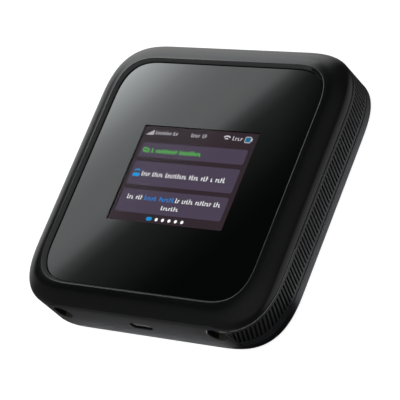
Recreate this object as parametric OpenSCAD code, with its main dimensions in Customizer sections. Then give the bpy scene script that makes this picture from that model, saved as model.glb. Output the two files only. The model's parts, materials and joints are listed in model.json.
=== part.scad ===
// Mobile hotspot: a rounded square puck with a colour screen, a ribbed side band,
// a USB-C port, two antenna ports and a lift-off bottom cover over its battery.
// The origin is at the bottom centre, +Z is up, and the ports face -Y.

/* [Body] */
// Width and depth of the body
body_w = 105; // [100:1:120]
// Reach of the rounded corners along each side
corner_r = 25; // [22:0.5:28]
// Roundness power of the corners: 2 is a circle, more is squarer
corner_power = 3; // [2:0.1:4]
// Height of the crest round the screen above the table
crest_z = 20.8; // [20.2:0.1:22]
// Height of the rubber feet below the cover
foot_h = 0.6; // [0.4:0.1:1]
// Radius of the bottom edge
bottom_r = 1.5; // [1:0.1:2]
// Height of the seam between the side band and the top shell
top_seam_z = 14.5; // [14:0.1:15]
// Height of the seam between the side band and the bottom cover
base_seam_z = 4.9; // [4.5:0.1:5.2]
// Height of the ports' face at its middle, under the top shell
face_top_z = 17.1; // [16.6:0.1:17.3]
// Width of the seam grooves
seam = 0.3; // [0.2:0.05:0.4]

/* [Crown] */
// Radial reach of the crown's curve
crown_reach = 9; // [8.5:0.1:9.5]
// Height of the crown's curve
crown_rise = 5.2; // [5:0.1:5.4]
// Width of the crown from the side to the crest
crest_in = 7.4; // [7:0.1:8]

/* [Screen] */
// Width of the front lens
lens_w = 87.8; // [86:0.2:89]
// Thickness of the front lens
lens_t = 1.1; // [0.8:0.1:1.3]
// Height of the lens's outer face
lens_z = 19.4; // [19:0.1:19.6]
// Width of the picture
view_w = 50; // [45:0.5:54]
// Height of the picture
view_h = 37.5; // [34:0.5:40]

/* [Ribs] */
// Distance from one groove of the side band to the next
rib_pitch = 1.607; // [1.4:0.01:2]
// Width of a groove
rib_gap = 0.72; // [0.5:0.01:0.9]
// Depth of a groove
rib_depth = 0.9; // [0.4:0.1:1]
// Lean of the grooves away from upright
rib_lean = 20.5; // [0:0.5:25]
// Lower end of the grooves
rib_low_z = 6.1; // [5.8:0.1:7]
// Upper end of the grooves
rib_high_z = 13.1; // [12:0.1:13.4]

/* [Ports] */
// Width of the USB-C opening
usb_w = 9.4; // [9.2:0.1:9.8]
// Height of the USB-C opening
usb_h = 3.6; // [3.5:0.1:3.8]
// Height of the USB-C opening's centre
usb_z = 9.6; // [9.5:0.05:9.65]
// Sideways distance of the antenna ports from the middle
jack_x = 33.4; // [32:0.1:34]
// Height of the antenna ports' axis
jack_z = 11.8; // [11.6:0.1:12]
// Radius of the antenna port's funnel at the face
funnel_r = 3.5; // [3:0.1:3.8]
// Radius of the hole at the funnel's bottom
funnel_hole_r = 2.35; // [2.3:0.05:2.6]

/* [Battery] */
// Width of the battery
battery_w = 68; // [60:1:68]
// Depth of the battery
battery_d = 66; // [60:1:66]
// Thickness of the battery
battery_t = 7.2; // [6:0.1:7.3]

/* [Buttons] */
// Width of the power button
power_w = 13; // [10:0.5:14]
// Height of the power button
power_h = 3.6; // [3:0.1:4]

/* [Hidden] */
$fn = 48;

// Outline
half_w = body_w / 2;
corner_steps = 12;
crown_steps = 8;
bottom_steps = 4;
crown_z = crest_z - crown_rise * sqrt(1 - pow(1 - crest_in / crown_reach, 2));

// Walls
wall = 1.8;
cover_wall = 1.4;
cover_plate_t = 1.2;
cover_z = foot_h;
label_panel = [46, 26];
label_panel_y = 8;
label_panel_depth = 0.15;
grip = [14, 3.2];
grip_y = 49.2;
grip_depth = 0.8;
clip_half_w = 4;
clip_spots = [-22, 22];
clip_top_z = 8;
face_end_x = 38.5;
face_flat_x = 33;
face_slope_x = 42.4;
rib_front_y = 51.6;
pad_half = 9.5;
short_rib = [38.4, 51.8];
short_rib_z = 10.6;
inner_half = half_w - wall;

// Rubber feet, let into the cover
foot_r = 4;
foot_depth = 0.4;
foot_spots = [for (x = [-38, 38]) for (y = [-38, 38]) [x, y]];

// Levels of the inner stack, from the bottom up
battery_z = cover_z + cover_plate_t + 0.3;
tray_z = 9.6;
tray_t = 1;
pcb_z = 11.3;
pcb_t = 1;
pcb_top = pcb_z + pcb_t;
can_h = 1.8;
pad_t = 0.4;
spreader_z = pcb_top + can_h + pad_t;
spreader_t = 0.3;
lcd_frame_z = 14.9;
lcd_frame_t = 0.6;
backlight_z = 15.55;
backlight_t = 1.3;
panel_z = 16.9;
panel_t = 1.25;
lens_low_z = lens_z - lens_t;
ledge_z = lens_low_z - 0.15;
ledge_low_z = 17.2;
ledge_half = 41.6;
skirt_half = 49.2;
skirt_z = 13;

// Display, set a little towards the ports inside the lens
display_y = -1.5;
panel_w = view_w + 5;
panel_d = view_h + 7;
backlight_w = view_w + 6;
backlight_d = view_h + 8.5;
flex_w = 20;
flex_t = 0.2;
flex_y = display_y - backlight_d / 2 - 2.8;
connector_h = 1;

// Fasteners
screw_r = 0.78;
screw_bore_r = 0.8;
boss_r = 2.5;
boss_spots = [[40.5, 40.5], [-40.5, 40.5], [40.5, -40.5], [-40.5, -40.5], [45, -18], [-45, -18]];
small_screw_r = 0.58;
small_bore_r = 0.6;
small_boss_r = 1.8;
small_boss_spots = [[22, 44.5], [-22, 44.5], [22, -44.5], [-22, -44.5]];

// Board parts: lowest corner and size of each can, and the antennas' levels
modem_can = [[-34, -16], [34, 40]];
wifi_can = [[6, -10], [26, 30]];
antenna_low_z = 12.8;
antenna_high_z = 16;

// Battery bay
battery_y = 3;
bay_gap = 0.5;
bay_wall = 1;
contact_count = 4;
contact_pitch = 3;
contact_y = battery_y - battery_d / 2;

// Openings of the tray for what reaches down past it
contact_well_x = 9;
usb_well_x = 6.5;
switch_well_x = 9;
jack_well_x = 3.4;
jack_well_y = 42.5;
port_well_y = 43;
well_y = 52;
sim_well = [36.8, -8, 49.2, 21];

// Ports
jack_r = 2.1;
jack_bore_r = 1.6;
jack_front_y = -50.9;
jack_back_y = -43.5;
usb_shell_w = 8.94;
usb_shell_h = 3.26;
usb_shell_t = 0.3;
usb_front_y = -51.65;
tongue_half_w = 3.35;
tongue_half_h = 0.35;
tongue_in = 0.8;
pad_pitch = 0.5;
usb_back_y = -44.6;

// Buttons
power_z = 9.7;
power_face_y = half_w - 0.05;
power_back_y = 49.7;
fit_gap = 0.15;
power_well_x = 8.6;
reset_spot = [-42, 8];

// SIM
sim_w = 8.8;
sim_l = 12.3;
sim_t = 0.67;
sim_x = 43;
sim_y = 12.65;
sim_z = 10.3;

// Colours
bezel_colour = [0.07, 0.075, 0.07];
frame_colour = [0.24, 0.245, 0.255];
cover_colour = [0.22, 0.225, 0.235];
steel_colour = [0.72, 0.73, 0.74];
gold_colour = [0.85, 0.68, 0.3];
board_colour = [0.05, 0.22, 0.13];
ink_colour = [0.02, 0.02, 0.02];
plastic_colour = [0.12, 0.12, 0.13];

// One point of a unit corner at angle a
function corner_point(a) = [pow(cos(a), 2 / corner_power), pow(sin(a), 2 / corner_power)];

// The point turned by q quarter turns
function quarter(p, q) = q == 0 ? p : quarter([-p[1], p[0]], q - 1);

// Radius of the concentric corner at a half width
function corner_at(half) = corner_r - (half_w - half);

// Points of the body's outline at a half width, counter-clockwise
function outline(half) = [
    for (q = [0:3])
        for (k = [0:corner_steps])
            quarter((half - corner_at(half)) * [1, 1]
                + corner_at(half) * corner_point(90 * k / corner_steps), q)
];

// Points of a rectangle with circular corners
function rounded(w, h, r, steps = 6) = [
    for (q = [0:3])
        for (k = [0:steps])
            let (sx = q == 0 || q == 3 ? 1 : -1, sy = q < 2 ? 1 : -1, a = 90 * (q + k / steps))
                [sx * (w / 2 - r) + r * cos(a), sy * (h / 2 - r) + r * sin(a)]
];

// Half width and height of each level of the outer surface, from the bottom up
outer_levels = concat(
    [for (k = [0:bottom_steps]) let (a = 90 * k / bottom_steps)
        [half_w - bottom_r * (1 - sin(a)), cover_z + bottom_r * (1 - cos(a))]],
    crown_levels()
);

// Half width and height of each level of the crown, from the side to the crest
function crown_levels() = [
    for (k = [0:crown_steps])
        let (a = acos(1 - crest_in / crown_reach) * k / crown_steps)
            [half_w - crown_reach * (1 - cos(a)), crown_z + crown_rise * sin(a)]
];

// Faces that join the rings of points one above another
function side_faces(n, rings) = [
    for (j = [0:rings - 2])
        for (k = [0:n - 1])
            [j * n + k, (j + 1) * n + k, (j + 1) * n + (k + 1) % n, j * n + (k + 1) % n]
];

// Points of the outlines at all levels
function level_points(levels) = [
    for (v = levels)
        for (p = outline(v[0]))
            [p[0], p[1], v[1]]
];

// Closed solid through the outlines at all levels
module loft(levels) {
    n = len(outline(half_w));
    bottom = [for (k = [0:n - 1]) k];
    top = [for (k = [n - 1:-1:0]) (len(levels) - 1) * n + k];
    polyhedron(level_points(levels), concat([bottom], side_faces(n, len(levels)), [top]));
}

// Ring whose section is the closed loop of levels
module loop_loft(levels) {
    n = len(outline(half_w));
    last = len(levels) - 1;
    closing = [for (k = [0:n - 1]) [last * n + k, k, (k + 1) % n, last * n + (k + 1) % n]];
    polyhedron(level_points(levels), concat(side_faces(n, len(levels)), closing));
}

// Upright prism on the body's outline
module prism(half, z0, z1) {
    translate([0, 0, z0])
        linear_extrude(z1 - z0)
            polygon(outline(half));
}

// Upright ring between two of the body's outlines
module ring(outer, inner, z0, z1) {
    translate([0, 0, z0])
        linear_extrude(z1 - z0)
            difference() {
                polygon(outline(outer));
                polygon(outline(inner));
            }
}

// Box given by its lowest and highest corners
module box(low, high) {
    translate(low)
        cube(high - low);
}

// Plate with circular corners
module plate(w, h, r, z0, z1) {
    translate([0, 0, z0])
        linear_extrude(z1 - z0)
            polygon(rounded(w, h, r));
}

// Slot along Y with round ends, between y0 and y1
module slot_y(w, h, x, z, y0, y1) {
    translate([x, y0, z])
        rotate([-90, 0, 0]) {
            translate([h / 2 - w / 2, 0, 0])
                cylinder(h = y1 - y0, r = h / 2);
            translate([w / 2 - h / 2, 0, 0])
                cylinder(h = y1 - y0, r = h / 2);
            translate([h / 2 - w / 2, -h / 2, 0])
                cube([w - h, h, y1 - y0]);
        }
}

// Round bar along Y, between y0 and y1
module bar_y(r, x, z, y0, y1) {
    translate([x, y0, z])
        rotate([-90, 0, 0])
            cylinder(h = y1 - y0, r = r);
}

// Round bars along Z at a list of spots
module posts(spots, r, z0, z1) {
    for (s = spots)
        translate([s[0], s[1], z0])
            cylinder(h = z1 - z0, r = r);
}

// Block that fills the ports' face as far as its sloping ends
module face_block(grow) {
    translate([0, -inner_half, 0])
        rotate([90, 0, 0])
            linear_extrude(wall + 1)
                polygon([
                    [-face_slope_x - grow, top_seam_z - 2], [face_slope_x + grow, top_seam_z - 2],
                    [face_slope_x + grow, top_seam_z - seam / 2], [face_flat_x + grow, face_top_z + grow],
                    [-face_flat_x - grow, face_top_z + grow], [-face_slope_x - grow, top_seam_z - seam / 2]
                ]);
}

// Length along the outline from its start to point k
function run_to(pts, k) = k == 0 ? 0 : run_to(pts, k - 1) + norm(pts[k] - pts[k - 1]);

// Slanted groove in the side band, at a spot on the outline facing along a direction
module groove(spot, turn, z0, z1) {
    mid = (z0 + z1) / 2;
    span = (z1 - z0) / cos(rib_lean);
    translate([spot[0], spot[1], mid])
        rotate([0, 0, turn])
            rotate([-rib_lean, 0, 0])
                cube([2 * rib_depth, rib_gap, span], center = true);
}

// True where the side band is ribbed: off the ports' face and off the power button's pad
function is_ribbed(p) = p[1] > -rib_front_y && (p[1] < 0 || abs(p[0]) > pad_half);

// Grooves along one stretch of the outline from a to b, the first one at a distance start
module groove_run(a, b, start) {
    stretch = norm(b - a);
    along = (b - a) / stretch;
    turn = atan2(along[1], along[0]) - 90;
    for (d = [start:rib_pitch:stretch])
        if (is_ribbed(a + along * d))
            groove(a + along * d, turn, rib_low_z, rib_high_z);
}

// Grooves all round the ribbed part of the outline, and a short one beside each antenna port
module grooves() {
    pts = outline(half_w);
    closed = concat(pts, [pts[0]]);
    for (k = [0:len(pts) - 1])
        let (run = run_to(closed, k))
            if (norm(closed[k + 1] - closed[k]) > 0)
                groove_run(closed[k], closed[k + 1], ceil(run / rib_pitch) * rib_pitch - run);
    for (side = [-1, 1])
        groove([side * short_rib[0], -short_rib[1]], -90, short_rib_z, short_rib_z + 2.2);
}

module top_bezel() {
    color(bezel_colour)
        union() {
            difference() {
                loop_loft(concat(
                    [[half_w, top_seam_z + seam / 2]],
                    crown_levels(),
                    [[lens_w / 2 + 0.25, lens_z + 0.35], [lens_w / 2 + 0.25, ledge_z],
                        [ledge_half, ledge_z], [ledge_half, ledge_low_z],
                        [skirt_half - 1, ledge_low_z], [skirt_half, ledge_low_z - 1],
                        [skirt_half, skirt_z], [inner_half - 0.2, skirt_z],
                        [inner_half - 0.2, top_seam_z + seam / 2]]
                ));
                face_block(0.15);
                for (side = [-1, 1])
                    box([side * jack_x - jack_r - 0.7, -inner_half + 0.1, skirt_z - 1],
                        [side * jack_x + jack_r + 0.7, 1 - skirt_half, jack_z + jack_r + 0.4]);
            }
            difference() {
                union() {
                    posts(boss_spots, boss_r, tray_z + tray_t, ledge_low_z + 0.2);
                    posts(small_boss_spots, small_boss_r, lcd_frame_z + lcd_frame_t,
                        ledge_low_z + 0.2);
                }
                posts(boss_spots, screw_bore_r, tray_z, ledge_low_z - 0.6);
                posts(small_boss_spots, small_bore_r, lcd_frame_z, ledge_low_z - 0.2);
            }
        }
}

module front_lens() {
    color(ink_colour)
        prism(lens_w / 2, lens_low_z, lens_z);
}

module lens_mask() {
    color(ink_colour)
        difference() {
            prism(ledge_half - 0.2, lens_low_z - 0.1, lens_low_z);
            plate(view_w, view_h, 0.6, lens_low_z - 1, lens_low_z + 1);
        }
}

module lens_adhesive() {
    color(plastic_colour)
        ring(lens_w / 2 - 0.1, ledge_half + 0.2, ledge_z, lens_low_z);
}

module lcd_panel() {
    color([0.22, 0.18, 0.22])
        translate([0, display_y, 0])
            plate(panel_w, panel_d, 0.6, panel_z, panel_z + panel_t);
}

module lcd_backlight() {
    color([0.85, 0.86, 0.88])
        translate([0, display_y, 0])
            plate(backlight_w, backlight_d, 0.8, backlight_z, backlight_z + backlight_t);
}

module lcd_frame() {
    color(steel_colour)
        difference() {
            prism(46.6, lcd_frame_z, lcd_frame_z + lcd_frame_t);
            posts(boss_spots, boss_r + 0.4, lcd_frame_z - 1, lcd_frame_z + 2);
            posts(small_boss_spots, small_bore_r + 0.1, lcd_frame_z - 1, lcd_frame_z + 2);
            box([-flex_w / 2 - 2, flex_y - 4, lcd_frame_z - 1],
                [flex_w / 2 + 2, flex_y + 2, lcd_frame_z + 2]);
        }
}

module lcd_frame_screws() {
    color(steel_colour) {
        posts(small_boss_spots, 1.2, lcd_frame_z - 0.5, lcd_frame_z);
        posts(small_boss_spots, small_screw_r, lcd_frame_z - 0.1, ledge_low_z - 0.3);
    }
}

// Flat cable from the backlight's edge, down past the frame and back to its connector
module lcd_flex() {
    top = backlight_z + 0.6;
    low = pcb_top + 0.1;
    color([0.72, 0.42, 0.12])
        translate([-flex_w / 2, 0, 0])
            rotate([90, 0, 90])
                linear_extrude(flex_w)
                    polygon([
                        [flex_y + 2.7, top - flex_t], [flex_y + 2.7, top], [flex_y, top],
                        [flex_y - 0.4, top - 0.4], [flex_y - 0.4, low + flex_t],
                        [flex_y - 3, low + flex_t], [flex_y - 3, low], [flex_y - flex_t, low],
                        [flex_y - flex_t, top - 0.45], [flex_y + 0.1, top - flex_t]
                    ]);
}

module lcd_connector() {
    color(plastic_colour)
        box([-flex_w / 2 - 1, flex_y - 6.5, pcb_top], [flex_w / 2 + 1, flex_y - 3.1, pcb_top + connector_h]);
}

module mid_frame() {
    color(frame_colour)
        difference() {
            union() {
                difference() {
                    ring(half_w, inner_half, base_seam_z + seam / 2, top_seam_z - seam / 2);
                    grooves();
                }
                ring(inner_half + 0.2, inner_half - 1, base_seam_z - 1.3, base_seam_z + 0.4);
                ring(inner_half + 0.2, skirt_half - 0.2, tray_z + tray_t, tray_z + tray_t + 1);
                intersection() {
                    loft(outer_levels);
                    union() {
                        box([-face_end_x, -half_w - 1, cover_z], [face_end_x, -inner_half, top_seam_z - 1]);
                        face_block(0);
                    }
                }
            }
            slot_y(usb_w, usb_h, 0, usb_z, -half_w - 1, -inner_half + 2);
            for (side = [-1, 1]) {
                bar_y(funnel_hole_r, side * jack_x, jack_z, -half_w - 1, 2 - inner_half);
                translate([side * jack_x, -half_w - 0.1, jack_z])
                    rotate([-90, 0, 0])
                        cylinder(h = 1.5, r1 = funnel_r + 0.1, r2 = funnel_hole_r);
                box([side * jack_x - 3, -inner_half - 0.01, tray_z],
                    [side * jack_x + 3, -48, top_seam_z + 1]);
            }
            slot_y(power_w + 2 * fit_gap, power_h + 2 * fit_gap, 0, power_z, 48, half_w + 1);
            box([-power_well_x, 48, power_z - 3], [power_well_x, inner_half + 0.01, power_z + 3]);
        }
}

module battery_tray() {
    bay_w = battery_w + 2 * bay_gap;
    bay_d = battery_d + 2 * bay_gap;
    color(plastic_colour)
        difference() {
            union() {
                prism(inner_half - 0.3, tray_z, tray_z + tray_t);
                translate([0, battery_y, 0])
                    plate(bay_w + 2 * bay_wall, bay_d + 2 * bay_wall, 2.5, battery_z + 0.4, tray_z + 0.5);
            }
            translate([0, battery_y, 0])
                plate(bay_w, bay_d, 2, 0, tray_z);
            posts(boss_spots, screw_bore_r + 0.1, tray_z - 1, tray_z + 2);
            box([-contact_well_x, contact_y - 7.5, 0], [contact_well_x, contact_y + 1, tray_z + 2]);
            box([-usb_well_x, -well_y, tray_z - 1], [usb_well_x, -port_well_y, tray_z + 2]);
            box([-switch_well_x, port_well_y, tray_z - 1], [switch_well_x, well_y, tray_z + 2]);
            for (side = [-1, 1])
                box([side * jack_x - jack_well_x, -well_y, tray_z - 1],
                    [side * jack_x + jack_well_x, -jack_well_y, tray_z + 2]);
            box([sim_well[0], sim_well[1], tray_z - 1], [sim_well[2], sim_well[3], tray_z + 2]);
            translate([reset_spot[0], reset_spot[1], tray_z])
                cube([3.8, 3.8, 4], center = true);
        }
}

module tray_screws() {
    color(steel_colour) {
        posts(boss_spots, 1.5, tray_z - 0.8, tray_z);
        posts(boss_spots, screw_r, tray_z - 0.1, ledge_low_z - 0.8);
    }
}

module battery_cover() {
    color(cover_colour)
        difference() {
            union() {
                difference() {
                    intersection() {
                        loft(outer_levels);
                        box([-60, -60, 0], [60, 60, base_seam_z - seam / 2]);
                    }
                    prism(half_w - cover_wall, cover_z + cover_plate_t, 10);
                }
                for (q = [0:2])
                    rotate([0, 0, 90 * q])
                        for (s = clip_spots)
                            box([inner_half - 2.3, s - clip_half_w, cover_z + 0.5],
                                [inner_half - 1.3, s + clip_half_w, clip_top_z]);
            }
            box([-face_end_x - seam, -60, -1], [face_end_x + seam, -inner_half + seam, 20]);
            posts(foot_spots, foot_r + 0.1, -1, cover_z + foot_depth);
            translate([0, label_panel_y, 0])
                plate(label_panel[0], label_panel[1], 1.5, -1, cover_z + label_panel_depth);
            translate([0, grip_y, 0])
                plate(grip[0], grip[1], 1.5, -1, cover_z + grip_depth);
        }
}

module rubber_feet() {
    color(plastic_colour)
        posts(foot_spots, foot_r, 0, cover_z + foot_depth);
}

module battery_pack() {
    color([0.13, 0.13, 0.14])
        difference() {
            translate([0, battery_y, 0])
                plate(battery_w, battery_d, 2, battery_z, battery_z + battery_t);
            box([-7, contact_y - 1, battery_z + 1.5], [7, contact_y + 0.8, battery_z + battery_t + 1]);
        }
}

module battery_label() {
    color([0.85, 0.85, 0.83])
        translate([0, battery_y + 2, 0])
            plate(battery_w - 10, battery_d - 16, 1.5, battery_z - 0.1, battery_z);
}

// Sideways places of the battery's contacts
function contact_xs() = [for (k = [0:contact_count - 1]) (k - (contact_count - 1) / 2) * contact_pitch];

module battery_pads() {
    color(gold_colour)
        for (x = contact_xs())
            box([x - 0.9, contact_y + 0.5, battery_z + 1.7],
                [x + 0.9, contact_y + 0.8, battery_z + battery_t - 1.7]);
}

module contact_block() {
    color(plastic_colour)
        difference() {
            box([-8, contact_y - 6.8, battery_z + 1.5], [8, contact_y - 1.2, pcb_z]);
            for (x = contact_xs())
                box([x - 0.5, contact_y - 4, battery_z + 2.4], [x + 0.5, contact_y, battery_z + 4.8]);
        }
}

module contact_pins() {
    color(gold_colour)
        for (x = contact_xs()) {
            box([x - 0.4, contact_y - 4, battery_z + 2.5], [x + 0.4, contact_y - 1, battery_z + 2.8]);
            box([x - 0.4, contact_y - 1.3, battery_z + 2.5], [x + 0.4, contact_y + 0.3, battery_z + 4.7]);
        }
}

module main_pcb() {
    color(board_colour)
        difference() {
            prism(46.5, pcb_z, pcb_top);
            posts(boss_spots, boss_r + 0.4, pcb_z - 1, pcb_top + 1);
            for (side = [-1, 1])
                box([side * jack_x - 2.9, -60, pcb_z - 1], [side * jack_x + 2.9, -43.3, pcb_top + 1]);
        }
}

// Drawn sheet-metal can over a part of the board
module shield(low, size) {
    skin = 0.2;
    difference() {
        box([low[0], low[1], pcb_top], [low[0] + size[0], low[1] + size[1], pcb_top + can_h]);
        box([low[0] + skin, low[1] + skin, pcb_top - 1],
            [low[0] + size[0] - skin, low[1] + size[1] - skin, pcb_top + can_h - skin]);
    }
}

module modem_shield() {
    color(steel_colour)
        shield(modem_can[0], modem_can[1]);
}

module wifi_shield() {
    color(steel_colour)
        shield(wifi_can[0], wifi_can[1]);
}

module modem_chip() {
    color(ink_colour)
        box([-26, -4, pcb_top], [-11, 11, pcb_top + 1.1]);
}

module wifi_chip() {
    color(ink_colour)
        box([13, 0, pcb_top], [24, 11, pcb_top + 0.9]);
}

module thermal_pads() {
    color([0.55, 0.62, 0.7]) {
        box([-28, -6, pcb_top + can_h], [-9, 13, spreader_z]);
        box([11, -2, pcb_top + can_h], [26, 13, spreader_z]);
    }
}

module heat_spreader() {
    color([0.3, 0.3, 0.32])
        translate([0, 6, 0])
            plate(76, 58, 3, spreader_z, spreader_z + spreader_t);
}

module cellular_antennas() {
    color([0.8, 0.5, 0.25])
        for (side = [0, 1])
            mirror([side, 0, 0])
                box([skirt_half - 0.3, -12, antenna_low_z], [skirt_half - 0.05, 24, antenna_high_z]);
}

module wifi_antennas() {
    color([0.8, 0.5, 0.25])
        for (side = [0, 1])
            mirror([side, 0, 0])
                box([10, skirt_half - 0.3, antenna_low_z], [25, skirt_half - 0.05, antenna_high_z]);
}

module usb_c_shell() {
    color(steel_colour)
        difference() {
            slot_y(usb_shell_w, usb_shell_h, 0, usb_z, usb_front_y, usb_back_y);
            slot_y(usb_shell_w - 2 * usb_shell_t, usb_shell_h - 2 * usb_shell_t, 0, usb_z,
                usb_front_y - 1, usb_back_y + 1);
        }
}

module usb_c_tongue() {
    color(plastic_colour) {
        box([-tongue_half_w, usb_front_y + tongue_in, usb_z - tongue_half_h],
            [tongue_half_w, usb_back_y - 1, usb_z + tongue_half_h]);
        slot_y(usb_shell_w - 2 * usb_shell_t - 0.04, usb_shell_h - 2 * usb_shell_t - 0.04, 0, usb_z,
            usb_back_y - 1.6, usb_back_y);
    }
}

module usb_c_contacts() {
    color(gold_colour)
        for (k = [0:11])
            for (side = [-1, 1])
                translate([(k - 5.5) * pad_pitch, usb_front_y + tongue_in + 2,
                    usb_z + side * (tongue_half_h + 0.03)])
                    cube([0.25, 3.4, 0.06], center = true);
}

// Threadless push-on antenna jack with its axis along Y
module jack(x) {
    difference() {
        union() {
            bar_y(jack_r, x, jack_z, jack_front_y, jack_back_y);
            box([x - 2.6, jack_back_y - 2, jack_z - 2.2], [x + 2.6, jack_back_y, jack_z + 2.2]);
        }
        bar_y(jack_bore_r, x, jack_z, jack_front_y - 1, jack_back_y - 0.6);
    }
}

module left_jack() {
    color(gold_colour)
        jack(-jack_x);
}

module right_jack() {
    color(gold_colour)
        jack(jack_x);
}

module jack_insulators() {
    color([0.92, 0.92, 0.9])
        for (side = [-1, 1])
            difference() {
                bar_y(jack_bore_r - 0.03, side * jack_x, jack_z, jack_back_y - 2.2, jack_back_y - 0.62);
                bar_y(0.4, side * jack_x, jack_z, jack_back_y - 3, jack_back_y);
            }
}

module jack_pins() {
    color(gold_colour)
        for (side = [-1, 1])
            bar_y(0.37, side * jack_x, jack_z, jack_front_y + 1.4, jack_back_y - 0.65);
}

module power_button() {
    color(bezel_colour) {
        slot_y(power_w, power_h, 0, power_z, power_back_y, power_face_y);
        slot_y(power_w + 2, power_h + 1.6, 0, power_z, power_back_y, inner_half - 0.05);
        bar_y(0.9, 0, power_z, power_back_y - 1.35, power_back_y + 0.1);
    }
}

module power_switch() {
    color(steel_colour)
        difference() {
            box([-2.4, 44.4, power_z - 1.6], [2.4, 48, pcb_z]);
            bar_y(0.85, 0, power_z, 46.7, 49);
        }
}

module power_plunger() {
    color([0.9, 0.9, 0.88])
        bar_y(0.75, 0, power_z, 47.15, power_back_y - 1.35);
}

module reset_button() {
    color([0.9, 0.9, 0.88])
        posts([reset_spot], 0.9, 9.2, 10.4);
}

module reset_switch() {
    color(steel_colour)
        difference() {
            translate([reset_spot[0], reset_spot[1], (9.9 + pcb_z) / 2])
                cube([3.4, 3.4, pcb_z - 9.9], center = true);
            posts([reset_spot], 1, 9, 10.75);
        }
}

module sim_holder() {
    slack = 0.2;
    color(steel_colour)
        difference() {
            box([sim_x - 5.5, sim_y - 7.6, 9.95], [sim_x + 5.5, sim_y + 7.6, pcb_z]);
            box([sim_x - sim_w / 2 - slack, sim_y - 9, sim_z - 0.1],
                [sim_x + sim_w / 2 + slack, sim_y + sim_l / 2 + slack, sim_z + sim_t + 0.1]);
            box([sim_x - 2.5, sim_y - 9, 9], [sim_x + 2.5, sim_y - 1, sim_z]);
        }
}

module sim_card() {
    chamfer = 2;
    color([0.88, 0.88, 0.86])
        translate([sim_x, sim_y, sim_z])
            linear_extrude(sim_t)
                polygon([
                    [-sim_w / 2, -sim_l / 2], [sim_w / 2, -sim_l / 2], [sim_w / 2, sim_l / 2],
                    [-sim_w / 2 + chamfer, sim_l / 2], [-sim_w / 2, sim_l / 2 - chamfer]
                ]);
}

module rating_label() {
    color([0.85, 0.85, 0.83])
        translate([0, battery_y + 12, 0])
            plate(44, 28, 1, tray_z - 0.1, tray_z);
}

top_bezel();
front_lens();
lens_mask();
lens_adhesive();
lcd_panel();
lcd_backlight();
lcd_frame();
lcd_frame_screws();
lcd_flex();
lcd_connector();
mid_frame();
battery_tray();
tray_screws();
battery_cover();
rubber_feet();
battery_pack();
battery_label();
battery_pads();
contact_block();
contact_pins();
main_pcb();
modem_shield();
wifi_shield();
modem_chip();
wifi_chip();
thermal_pads();
heat_spreader();
cellular_antennas();
wifi_antennas();
usb_c_shell();
usb_c_tongue();
usb_c_contacts();
left_jack();
right_jack();
jack_insulators();
jack_pins();
power_button();
power_switch();
power_plunger();
reset_button();
reset_switch();
sim_holder();
sim_card();
rating_label();
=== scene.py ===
import json
import math

import bmesh
import bpy
import numpy as np
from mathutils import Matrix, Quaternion, Vector

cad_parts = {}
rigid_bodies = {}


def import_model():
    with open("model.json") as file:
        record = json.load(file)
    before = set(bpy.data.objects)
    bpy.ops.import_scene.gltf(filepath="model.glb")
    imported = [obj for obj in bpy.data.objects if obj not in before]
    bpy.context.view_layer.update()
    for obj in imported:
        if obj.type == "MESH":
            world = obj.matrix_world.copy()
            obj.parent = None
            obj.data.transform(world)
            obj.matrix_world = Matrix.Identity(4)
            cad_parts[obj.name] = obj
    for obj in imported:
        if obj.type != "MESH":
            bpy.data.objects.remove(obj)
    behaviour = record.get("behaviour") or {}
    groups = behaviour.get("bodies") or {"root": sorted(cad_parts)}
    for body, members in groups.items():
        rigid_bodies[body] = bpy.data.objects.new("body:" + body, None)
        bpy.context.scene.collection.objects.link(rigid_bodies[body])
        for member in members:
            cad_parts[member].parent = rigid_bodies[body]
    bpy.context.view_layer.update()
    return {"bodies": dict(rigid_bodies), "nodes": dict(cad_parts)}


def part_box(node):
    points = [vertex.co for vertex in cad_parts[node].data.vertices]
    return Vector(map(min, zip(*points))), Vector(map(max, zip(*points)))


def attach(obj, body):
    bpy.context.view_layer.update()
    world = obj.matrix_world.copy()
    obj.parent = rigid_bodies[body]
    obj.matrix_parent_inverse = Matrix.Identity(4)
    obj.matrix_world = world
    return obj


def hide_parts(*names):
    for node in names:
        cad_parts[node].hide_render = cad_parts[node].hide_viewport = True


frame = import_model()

MM = 0.001


def top_of(node):
    """Highest corner of a CAD node, in millimetres."""
    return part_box(node)[1] / MM


def bottom_of(node):
    """Lowest corner of a CAD node, in millimetres."""
    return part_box(node)[0] / MM


# Levels and half widths in millimetres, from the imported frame.
HALF = top_of("top_bezel").x
CREST_Z = top_of("top_bezel").z
LENS_HALF = top_of("front_lens").x
LENS_Z = top_of("front_lens").z
LENS_LOW_Z = bottom_of("front_lens").z
FACE_TOP_Z = top_of("mid_frame").z
COVER_LOW_Z = bottom_of("battery_cover").z
SKIRT_Z = bottom_of("top_bezel").z
FEET_HALF = top_of("rubber_feet").x

# Shape values in millimetres, the same as in the CAD source.
CORNER = 25.0
POWER = 3.0
CORE = HALF - CORNER
SEAM = 0.3
TOP_SEAM_Z = 14.5
BASE_SEAM_Z = 4.9
WALL = 1.8
INNER = HALF - WALL
CROWN_REACH = 9.0
CROWN_RISE = 5.2
CREST_IN = 7.4
CREST_HALF = HALF - CREST_IN
CREST_ANGLE = math.acos(1 - CREST_IN / CROWN_REACH)
CROWN_Z = CREST_Z - CROWN_RISE * math.sin(CREST_ANGLE)
FACE_END_X = 38.5
FACE_FLAT_X = 33.0
FACE_SLOPE_X = 42.4
FACE_LOW_R = 1.5
TRAY_TOP_Z = 10.6
LEDGE_Z = 18.15
LEDGE_HALF = 41.6
LEDGE_LOW_Z = 17.2
SKIRT = 49.2
COVER_WALL = 1.4
COVER_FLOOR_Z = 1.8
FOOT_X = 38.0
FOOT_R = FEET_HALF - FOOT_X
FOOT_TOP_Z = COVER_LOW_Z + 0.4
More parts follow.
